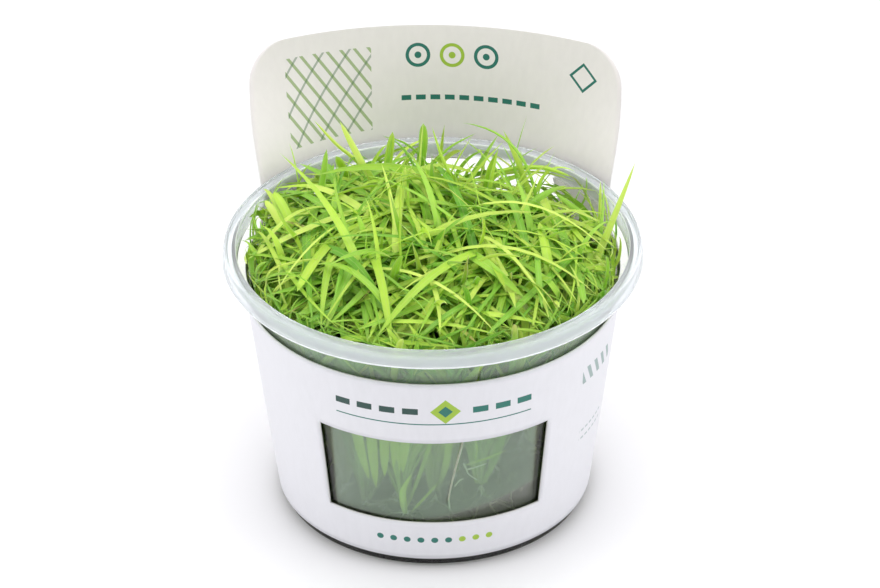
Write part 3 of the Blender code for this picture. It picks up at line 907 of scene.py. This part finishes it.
def make_gel():
    """The jelly, whose top slopes, with a slight rise where it clings to the wall."""
    bottom = FLOOR_THICKNESS + PIECE_GAP
    foot = inner_radius(bottom) - PIECE_GAP
    taper = (inner_radius(GEL_HEIGHT) - inner_radius(bottom)) / (GEL_HEIGHT - bottom)
    points = [(0, 0, bottom), (0, 0, gel_top(0))]
    points += [(foot * cos(a), foot * sin(a), bottom) for a in ANGLES]
    for share in GEL_RINGS:
        for angle in ANGLES:
            slope = taper * GEL_SLOPE * cos(angle)
            edge = (inner_radius(GEL_HEIGHT) - PIECE_GAP) / (1 - slope)
            x = edge * share * cos(angle)
            dimple = -GEL_DIMPLE * (1 + sin(GEL_WAVES * angle + GEL_TWIST * share))
            height = gel_top(x) + (0.0 if share == 1.0 else dimple)
            points.append((x, edge * share * sin(angle), height))
    start = 2 + SEGMENTS
    last = start + SEGMENTS * (len(GEL_RINGS) - 1)
    faces = []
    for i in range(SEGMENTS):
        j = (i + 1) % SEGMENTS
        faces.append((0, 2 + j, 2 + i))
        faces.append((2 + i, 2 + j, last + j, last + i))
        faces.append((1, start + i, start + j))
        for low in range(start, last, SEGMENTS):
            high = low + SEGMENTS
            faces.append((low + i, high + i, high + j, low + j))
    return round_object("gel_body", points, faces, jelly(), crease=40)


# The leading leaves, grown as in the part's own source.


def crown_place(index):
    radius = CROWN_SPREAD * sqrt((index + 0.5) / PLANTLETS)
    angle = index * GOLDEN_ANGLE
    x = radius * cos(angle)
    y = radius * sin(angle)
    lift = PIECE_GAP + GEL_SLOPE * CROWN_RADIUS + CROWN_HEIGHT / 2
    return Vector((x, y, gel_top(x) + lift))


def mat_height(x, y):
    share = min(1.0, hypot(x, y) / RIM_INNER_RADIUS)
    return MAT_HEIGHT + MAT_CROWN * (1 - share * share)


def leaf_path(foot, shoulder, bend, tip, steps):
    t = np.linspace(0, 1, steps + 1)[:, None]
    corners = [np.array(p) for p in (foot, shoulder, bend, tip)]
    weights = ((1 - t) ** 3, 3 * t * (1 - t) ** 2, 3 * t**2 * (1 - t), t**3)
    return sum(w * c for w, c in zip(weights, corners))


def face_middle(crown, side):
    angle = pi / 4 + side * tau / LEAVES_EACH
    outward = Vector((cos(angle), sin(angle), 0))
    return crown + outward * FOOT_OUT + Vector((0, 0, FOOT_UP)), outward


def inside_cup(path):
    height = path[:, 2]
    room = np.where(height < STEP_HEIGHT, inner_radius(height), RIM_INNER_RADIUS) - LEAF_ROOM
    room = np.where(height > CUP_HEIGHT + LEAF_WIDTH, RIM_RADIUS - LEAF_WIDTH, room)
    clear = np.hypot(path[:, 0], path[:, 1]) < room
    return bool(clear.all() and (height < TALLEST_LEAF).all())


class Grown:
    """The points of the leaves that have grown, and a test of a new leaf's distance from them."""

    def __init__(self):
        self.points = []
        self.marks = []
        self.tree = KDTree(0)
        self.tree.balance()

    def add(self, plantlet, path):
        self.points += list(path)
        self.marks += [(plantlet, order) for order in range(len(path))]
        self.tree = KDTree(len(self.points))
        for number, point in enumerate(self.points):
            self.tree.insert(point, number)
        self.tree.balance()

    def clear_of(self, path, plantlet):
        for order, point in enumerate(path):
            for _, number, distance in self.tree.find_range(point, OWN_CLEARANCE):
                owner, other = self.marks[number]
                if owner != plantlet and distance <= LEAF_CLEARANCE:
                    return False
                if owner == plantlet and min(order, other) >= OWN_CROWN_POINTS:
                    return False
        return True


def random_leaf(foot, outward, chance):
    """A leaf that leans across the cup, or rises and bends over, and ends in the mat."""
    radius = MAT_RADIUS * sqrt(chance.uniform(0, 1))
    around = chance.uniform(0, tau)
    x = radius * cos(around)
    y = radius * sin(around)
    short = min(1.0, LONGEST_REACH / hypot(x - foot.x, y - foot.y))
    x = foot.x + (x - foot.x) * short
    y = foot.y + (y - foot.y) * short
    tip = Vector((x, y, mat_height(x, y) + chance.uniform(-BELOW_MAT, ABOVE_MAT)))
    way = tip - foot
    reach = hypot(way.x, way.y)
    upright = chance.uniform(0, 1)
    if way.dot(outward) < reach * LEAST_FACING:
        upright = 1.0
    low = THIRD * (1 - upright)
    high = TWO_THIRDS - BEND_BACK * upright
    shoulder_rise = way.z * (THIRD + SHOULDER_LIFT * upright)
    bend_rise = way.z * (TWO_THIRDS + THIRD * upright)
    side = chance.normal(0, SIDE_SPREAD)
    arch = chance.uniform(0, MOST_ARCH) * reach * upright
    shoulder = foot + outward * SHOULDER_OUT
    shoulder += Vector((way.x * low, way.y * low, shoulder_rise))
    bend = foot + Vector((way.x * high, way.y * high, bend_rise + arch))
    bend += Vector((-way.y, way.x, 0)).normalized() * side
    return foot, shoulder, bend, tip


def sets_out_clear(path, crown, outward):
    """True where a leaf's first stretch, edges included, keeps to its own quarter of the crown."""
    away = path[SETTING_OUT] - np.array(crown)
    out = away[:, 0] * outward.x + away[:, 1] * outward.y
    beside = abs(away[:, 0] * outward.y - away[:, 1] * outward.x)
    return bool((out > beside + LEAF_WIDTH / 2).all())


def sides_towards(crown, target):
    return sorted(
        range(LEAVES_EACH), key=lambda side: -face_middle(crown, side)[1].dot(target - crown)
    )


def grow_standing(crowns, leaves, grown):
    widths = {}
    for (crown_mm, bend_mm, tip_mm), width in zip(STANDING_LEAVES, STANDING_WIDTHS):
        x, y = crown_mm[0] / 1000, crown_mm[1] / 1000
        plantlet = min(range(PLANTLETS), key=lambda k: hypot(crowns[k].x - x, crowns[k].y - y))
        bend = Vector(bend_mm) / 1000
        tip = Vector(tip_mm) / 1000
        for side in sides_towards(crowns[plantlet], bend):
            foot, outward = face_middle(crowns[plantlet], side)
            rise = Vector((0, 0, STANDING_SHOULDER_SHARE * (bend.z - foot.z)))
            shoulder = foot + outward * SHOULDER_OUT + rise
            path = leaf_path(foot, shoulder, bend, tip, PATH_POINTS)
            if (plantlet, side) not in leaves and grown.clear_of(path, plantlet):
                leaves[plantlet, side] = (foot, shoulder, bend, tip)
                widths[plantlet, side] = width
                grown.add(plantlet, path)
                break
    return widths


def grow_mat(crowns, leaves, grown):
    chance = np.random.default_rng(SEED)
    for side in range(LEAVES_EACH):
        for plantlet in range(PLANTLETS):
            if (plantlet, side) in leaves:
                continue
            foot, outward = face_middle(crowns[plantlet], side)
            for _ in range(TRIES):
                corners = random_leaf(foot, outward, chance)
                path = leaf_path(*corners, PATH_POINTS)
                if not sets_out_clear(path, crowns[plantlet], outward):
                    continue
                if inside_cup(path) and grown.clear_of(path, plantlet):
                    leaves[plantlet, side] = corners
                    grown.add(plantlet, path)
                    break


def grow_leaves(crowns):
    leaves = {}
    grown = Grown()
    widths = grow_standing(crowns, leaves, grown)
    grow_mat(crowns, leaves, grown)
    return leaves, widths


# The fine blades.


def folded(path, chance):
    """The path with its end folded over at a random point, as pressed leaves are."""
    at = int(len(path) * chance.uniform(*FOLD_PLACE))
    ahead = path[at] - path[at - 1]
    ahead /= np.linalg.norm(ahead)
    side = np.cross(ahead, (0, 0, 1)) + chance.normal(0, FOLD_SKEW, 3)
    turn = Matrix.Rotation(chance.uniform(*FOLD_ANGLE), 3, Vector(side))
    result = path.copy()
    result[at:] = path[at] + (path[at:] - path[at]) @ np.array(turn).T
    return smoothed(result)


def smoothed(path):
    """The path with each inner point drawn towards its neighbours."""
    result = path.copy()
    result[1:-1] = (path[:-2] + 2 * path[1:-1] + path[2:]) / 4
    return result


def loose_path(crown, chance):
    """A finer blade's path from a crown, which may be folded."""
    for _ in range(TRIES):
        turn = chance.uniform(0, tau)
        outward = Vector((cos(turn), sin(turn), 0))
        foot = crown + outward * (CROWN_RADIUS * chance.uniform(*LOOSE_FOOT))
        path = leaf_path(*random_leaf(foot, outward, chance), BLADE_STEPS)
        if chance.random() < FOLDED_SHARE:
            path = folded(path, chance)
        if inside_cup(path):
            break
    return path


def room_at(height):
    """How far out a leaf can lie at a height: to the wall, or above it to the rim's inner edge."""
    wall = inner_radius(np.minimum(height, STEP_HEIGHT))
    return np.where(height < RIM_LEDGE, wall, RIM_INNER_RADIUS)


def pressed_in(path, margin):
    """The path with any point beyond the wall drawn back to it."""
    radius = np.maximum(np.hypot(path[:, 0], path[:, 1]), margin)
    share = np.minimum(1.0, (room_at(path[:, 2]) - margin) / radius)
    path[:, :2] *= share[:, None]
    return path


def sunk(place):
    """Near 1 at the back right, where the mat has sunk away from the wall, and 0 elsewhere."""
    off = atan2(place[1], place[0]) - SUNK_ANGLE
    off = (off + pi) % tau - pi
    return exp(-((off / SUNK_SPREAD) ** 2))


def drawn_in(place):
    """The place, or the nearest to it that lies within the mat."""
    most = RIM_INNER_RADIUS - LYING_MARGIN - SUNK_REACH * sunk(place)
    return place * min(1.0, most / np.linalg.norm(place))


def on_mat(place, lift):
    share = np.linalg.norm(place) / RIM_INNER_RADIUS
    return np.array((*place, mat_height(*place) + lift - SUNK_DEPTH * sunk(place) * share))


def rise_and_run(foot, first, middle, last):
    """A path that rises from its foot, turns over and runs on in a shallow curve."""
    ahead = (middle - first) / np.linalg.norm(middle - first)
    above = foot + (0, 0, RISE_SHARE * (first[2] - foot[2]))
    rise = leaf_path(foot, above, first - ahead * LYING_TURN, first, RISE_STEPS)
    t = np.linspace(0, 1, RUN_STEPS + 1)[1:, None]
    run = first * (1 - t) ** 2 + middle * 2 * t * (1 - t) + last * t * t
    return np.vstack([rise, run])


def lying_path(crown, chance):
    """A path that runs in a shallow curve over the top of the mat, and the way across it."""
    start = np.array(crown[:2])
    length = 0.0
    while length < SHORTEST_RUN:
        turn = chance.uniform(0, tau)
        heading = heading_across(chance)
        enter = drawn_in(start + direction(turn) * chance.uniform(*LYING_START))
        leave = drawn_in(enter + direction(heading) * chance.uniform(*LYING_RUN))
        length = np.linalg.norm(leave - enter)
    lift = chance.uniform(*LYING_DEPTH)
    first = on_mat(enter, lift)
    last = on_mat(leave, lift + chance.normal(0, LYING_SLOPE))
    arch = HIGH_ARCH if chance.random() < ARCHED_SHARE * (1 - sunk(enter)) else LOW_ARCH
    ahead = (leave - enter) / length
    beside = np.array((-ahead[1], ahead[0], 0.0))
    middle = (first + last) / 2 + beside * length * chance.normal(0, SWEEP)
    middle[2] += length * chance.uniform(*arch)
    path = pressed_in(rise_and_run(np.array(crown), first, middle, last), LYING_MARGIN)
    path[:, 2] = np.minimum(path[:, 2], TALLEST_LEAF)
    return path, beside + (0, 0, chance.normal(0, LYING_TILT))


def heading_across(chance):
    """The way a lying blade runs, more often towards the front or back than to a side."""
    if chance.random() > ALONG_Y_SHARE:
        return chance.uniform(0, tau)
    return chance.choice((-0.5, 0.5)) * pi + chance.normal(0, HEADING_SPREAD)


def direction(angle):
    return np.array((cos(angle), sin(angle)))


def wall_point(angle, height, inward=0.0):
    radius = float(room_at(height)) - WALL_MARGIN - inward
    return np.array((*radius * direction(angle), height))


def wall_path(crown, chance):
    """A path up the wall above the window that bends in over the mat, and the way across it."""
    around = atan2(crown.y, crown.x) + chance.normal(0, WALL_SPREAD)
    drift = chance.normal(0, WALL_DRIFT)
    top = chance.uniform(*WALL_TOP)
    low = wall_point(around, WALL_START, WALL_START_INWARD)
    high = wall_point(around + drift, top)
    lift = chance.uniform(0, WALL_END_LIFT)
    inward = chance.uniform(0, WALL_END_INWARD)
    end = wall_point(around + WALL_END * drift, top + lift, inward)
    path = pressed_in(rise_and_run(np.array(crown), low, high, end), WALL_MARGIN)
    return path, (-sin(around), cos(around), 0.0)


class Sweeps:
    """Collects slender closed shapes into one mesh, each a ring of points carried along a path."""

    def __init__(self):
        self.points = []
        self.faces = []

    def sweep(self, path, across, ring, sides):
        """Adds what ring gives at each step, and then a tip. The ring turns as little as it can."""
        start = len(self.points)
        ahead = headings(path)
        for i in range(len(path) - 1):
            across = across - ahead[i] * across.dot(ahead[i])
            across /= np.linalg.norm(across)
            self.points += ring(i, ahead[i], across)
            now = start + sides * i
            for a in range(sides if i else 0):
                b = (a + 1) % sides
                self.faces.append((now - sides + a, now - sides + b, now + b, now + a))
        self.points.append(path[-1])
        end = len(self.points) - 1
        last = end - sides
        self.faces += [(last + a, last + (a + 1) % sides, end) for a in range(sides)]
        self.faces.append(tuple(start + sides - 1 - k for k in range(sides)))


def headings(path):
    """The way that a path goes at each of its points."""
    ahead = np.gradient(path, axis=0)
    return ahead / np.linalg.norm(ahead, axis=1)[:, None]


class Blades(Sweeps):
    """Leaf blades, each with its own tone."""

    def __init__(self):
        super().__init__()
        self.marks = {mark: [] for mark in ("tone", "along", "across", "aged")}

    def add(self, path, width, flat, roll, tone, aged=-1.0, blunt=5):
        """Adds a blade that is wide along flat at its foot, and turns by roll to its tip."""

        def ring(i, ahead, flat):
            t = i / (len(path) - 1)
            other = np.cross(ahead, flat)
            side = flat * cos(roll * t) + other * sin(roll * t)
            up = np.cross(ahead, side)
            half = width / 2 * min(1.0, FOOT_WIDTH + WIDENING * t) * (1 - t**blunt) ** TIP_POWER
            middle = path[i] - up * half * CHANNEL
            under = middle - up * (BLADE_THICKNESS * (1 - t * THINNING))
            self.mark(tone, t, (-1.0, 0.0, 1.0, 0.0), aged)
            return [path[i] - side * half, middle, path[i] + side * half, under]

        self.sweep(path, np.array(flat), ring, 4)
        self.mark(tone, 1.0, (0.0,), aged)

    def mark(self, tone, along, across, aged):
        for value in across:
            for mark, number in zip(self.marks, (tone, along, value, aged)):
                self.marks[mark].append(number)

    def build(self, name, look):
        obj = round_object(name, self.points, self.faces, look, crease=55)
        for mark, values in self.marks.items():
            layer = obj.data.attributes.new(mark, "FLOAT", "POINT")
            layer.data.foreach_set("value", values)
        return obj


def any_way(chance):
    """A direction across a blade that has no set way to face."""
    return (*direction(chance.uniform(0, tau)), FLAT_TILT)


def tip_age(chance):
    return chance.choice(AGES, p=AGE_SHARES)


def fine_width(chance):
    broad = chance.uniform(*FINE_WIDTH) + BROADER_BY * (chance.random() < BROAD_SHARE)
    return broad if chance.random() < WIDE_SHARE else chance.uniform(*NARROW_WIDTH)


def fine_blade(blades, path, flat, chance):
    roll = chance.normal(0, FINE_ROLL)
    tone = chance.uniform(*FINE_TONE)
    blunt = chance.choice(BLUNTNESS)
    blades.add(path, fine_width(chance), flat, roll, tone, tip_age(chance), blunt)


def curved(points):
    """A smooth path through a few points given in millimetres."""
    points = np.array(points) / 1000
    places = np.linspace(0, 1, len(points))
    t = np.linspace(0, 1, BLADE_STEPS + 1)
    path = np.stack([np.interp(t, places, points[:, k]) for k in range(3)], axis=1)
    for _ in range(SMOOTHINGS):
        path = smoothed(path)
    return path


def by_wall(points, inward):
    """A smooth path inside the front wall, through points given by how far across and how high."""
    places = []
    for across, height in points:
        radius = inner_radius(height / 1000) * 1000 - inward
        places.append((across, -sqrt(radius**2 - across**2), height))
    return curved(places)


def facing_front(path):
    """Across a blade, so that its broad face looks up to the front."""
    return np.cross(path[-1] - path[0], (0, -cos(ELEVATION), sin(ELEVATION)))


def window_blades(blades):
    """The leaves that lie against the wall behind the window."""
    along_wall = (1.0, 0.15, 0.0)
    edge_on = (0.2, 0.1, 1.0)
    path = by_wall(BENT_LEAF, BENT_LEAF_INWARD)
    blades.add(path, BENT_LEAF_WIDTH, along_wall, roll=0.2, tone=1.0)
    for points in SLANTING_LEAVES:
        path = by_wall(points, SLANTING_INWARD)
        blades.add(path, SLANTING_WIDTH, edge_on, roll=0.3, tone=0.4)
    for points in WINDOW_STEMS:
        path = by_wall(points[::-1], STEM_INWARD)
        blades.add(path, STEM_WIDTH, along_wall, roll=0.3, tone=1.0, blunt=3)


def make_shade(kind, look, crowns, leaves, widths, chance):
    """One mesh of the blades of every third plantlet, and of the rising leaves in that shade."""
    blades = Blades()
    for plantlet in range(kind, PLANTLETS, len(SHADES)):
        crown = crowns[plantlet]
        for side in range(LEAVES_EACH):
            if (plantlet, side) in leaves:
                width = widths.get((plantlet, side), chance.uniform(*LEADING_WIDTH)) / 1000
                path = leaf_path(*leaves[plantlet, side], LEADING_STEPS)
                tone = chance.uniform(*LEADING_TONE)
                flat = any_way(chance)
                roll = chance.normal(0, LEADING_ROLL)
                blades.add(path, width, flat, roll, tone, tip_age(chance))
        for _ in range(LOOSE_EACH):
            fine_blade(blades, loose_path(crown, chance), any_way(chance), chance)
        for _ in range(LYING_EACH):
            fine_blade(blades, *lying_path(crown, chance), chance)
        if hypot(crown.x, crown.y) > OUTER_CROWNS and sunk(crown) < MOST_SUNK:
            for _ in range(WALL_EACH):
                fine_blade(blades, *wall_path(crown, chance), chance)
    if kind == 0:
        window_blades(blades)
    for width, *points in RISING_LEAVES[SHADES[kind]]:
        path = curved(points)
        blunt = round(BLUNTING * width)
        blades.add(path, width / 1000, facing_front(path), roll=0.3, tone=0.75, blunt=blunt)
    return blades.build(f"leaves_{SHADES[kind]}", look)


def make_leaves():
    crowns = [crown_place(index) for index in range(PLANTLETS)]
    leaves, widths = grow_leaves(crowns)
    looks = (
        leaf_skin("leaf_bright", (0.32, 0.55, 0.026), (0.67, 0.91, 0.14)),
        leaf_skin("leaf_mid", (0.21, 0.49, 0.024), (0.52, 0.83, 0.070)),
        leaf_skin("leaf_deep", (0.12, 0.37, 0.020), (0.36, 0.70, 0.060)),
    )
    chance = np.random.default_rng(FINE_SEED)
    for kind, look in enumerate(looks):
        piece = make_shade(kind, look, crowns, leaves, widths, chance)
        members = range(kind, PLANTLETS, len(SHADES))
        dress(piece, f"leaf_{SHADES[kind]}", *[f"plantlet_{k + 1:02d}" for k in members])
    return crowns


# The roots.


class Strands(Sweeps):
    """Thin round strands."""

    def add(self, path, radius):
        def ring(i, ahead, side):
            other = np.cross(ahead, side)
            thick = radius * (1 - ROOT_TAPER * i / len(path))
            angles = [tau * k / ROOT_SIDES for k in range(ROOT_SIDES)]
            return [path[i] + (side * cos(a) + other * sin(a)) * thick for a in angles]

        self.sweep(path, np.cross(headings(path)[0], ROOT_SIDEWAYS), ring, ROOT_SIDES)


def wandering(start, heading, length, chance, low, most):
    """A root's path, which wanders and stays inside the jelly's foot and wall."""
    points = [np.array(start)]
    heading = np.array(heading, float)
    for _ in range(ROOT_STEPS):
        heading += chance.normal(0, ROOT_WANDER, 3)
        heading /= np.linalg.norm(heading)
        step = points[-1] + heading * length / ROOT_STEPS
        step[2] = max(step[2], low)
        radius = hypot(step[0], step[1])
        if radius > most:
            step[:2] *= most / radius
        points.append(step)
    return np.array(points)


def make_roots(crowns):
    chance = np.random.default_rng(FINE_SEED + 1)
    strands = Strands()
    low = FLOOR_THICKNESS + PIECE_GAP + ROOT_LIFT
    for crown in crowns:
        for _ in range(ROOTS_EACH):
            turn = chance.uniform(0, tau)
            heading = (*ROOT_OUT * direction(turn), -1.0)
            start = crown - Vector((0, 0, CROWN_HEIGHT * ROOT_START))
            length = chance.uniform(*ROOT_LENGTH)
            path = wandering(start, heading, length, chance, low, inner_radius(low) - ROOT_MARGIN)
            strands.add(path, chance.uniform(*ROOT_RADIUS))
    strands.add(by_wall(LONG_ROOT, LONG_ROOT_INWARD), LONG_ROOT_RADIUS)
    for points in SHORT_ROOTS:
        strands.add(by_wall(points, SHORT_ROOT_INWARD), SHORT_ROOT_RADIUS)
    return round_object("roots", strands.points, strands.faces, root_skin(), crease=80)


# The floor, the light and the camera.


def make_stage():
    look = Look("floor", (0.93, 0.925, 0.94), 0.6)
    grain = look.noise(3, detail=2)
    look.feed("Base Color", look.shades(grain, (0.925, 0.92, 0.935), (0.935, 0.93, 0.945)))
    signs = ((-1, -1), (1, -1), (1, 1), (-1, 1))
    corners = [(FLOOR_REACH * across, FLOOR_REACH * back, 0) for across, back in signs]
    floor = mesh_object("floor", corners, [(0, 1, 2, 3)], look)
    floor.location.z = -FLOOR_DROP


def make_light():
    world = bpy.data.worlds.new("studio")
    bpy.context.scene.world = world
    world.use_nodes = True
    sky = world.node_tree.nodes["Background"]
    sky.inputs["Color"].default_value = (1.0, 1.0, 1.0, 1.0)
    sky.inputs["Strength"].default_value = SKY_STRENGTH
    for name, place, size, power in LAMPS:
        lamp = bpy.data.lights.new(name, "AREA")
        lamp.shape = "DISK"
        lamp.size = size
        lamp.energy = power
        obj = placed(name, lamp)
        obj.location = place
        aim = Vector((0, 0, LAMP_AIM)) - Vector(place)
        obj.rotation_euler = aim.to_track_quat("-Z", "Y").to_euler()
    bpy.context.scene.view_settings.view_transform = "Standard"


def make_camera():
    camera = bpy.data.cameras.new("camera")
    camera.lens = LENS
    camera.sensor_width = SENSOR_WIDTH
    camera.clip_start = 0.05
    camera.clip_end = 20.0
    obj = placed("camera", camera)
    back = Vector((0, -cos(ELEVATION), sin(ELEVATION)))
    obj.location = TARGET + back * DISTANCE
    look = (-back).to_track_quat("-Z", "Y").to_matrix().to_4x4()
    obj.matrix_world = Matrix.Translation(obj.location) @ look @ Matrix.Rotation(ROLL, 4, "Z")
    bpy.context.scene.camera = obj


def dress(piece, slot, *nodes):
    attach(piece, "root")
    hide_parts(*nodes)


def main():
    dress(make_cup(), "clear_plastic", "cup")
    dress(make_sleeve(), "white_card", "sleeve")
    dress(make_gel(), "clear_gel", "gel")
    crowns = make_leaves()
    roots = make_roots(crowns)
    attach(roots, "root")
    make_stage()
    make_light()
    make_camera()


main()
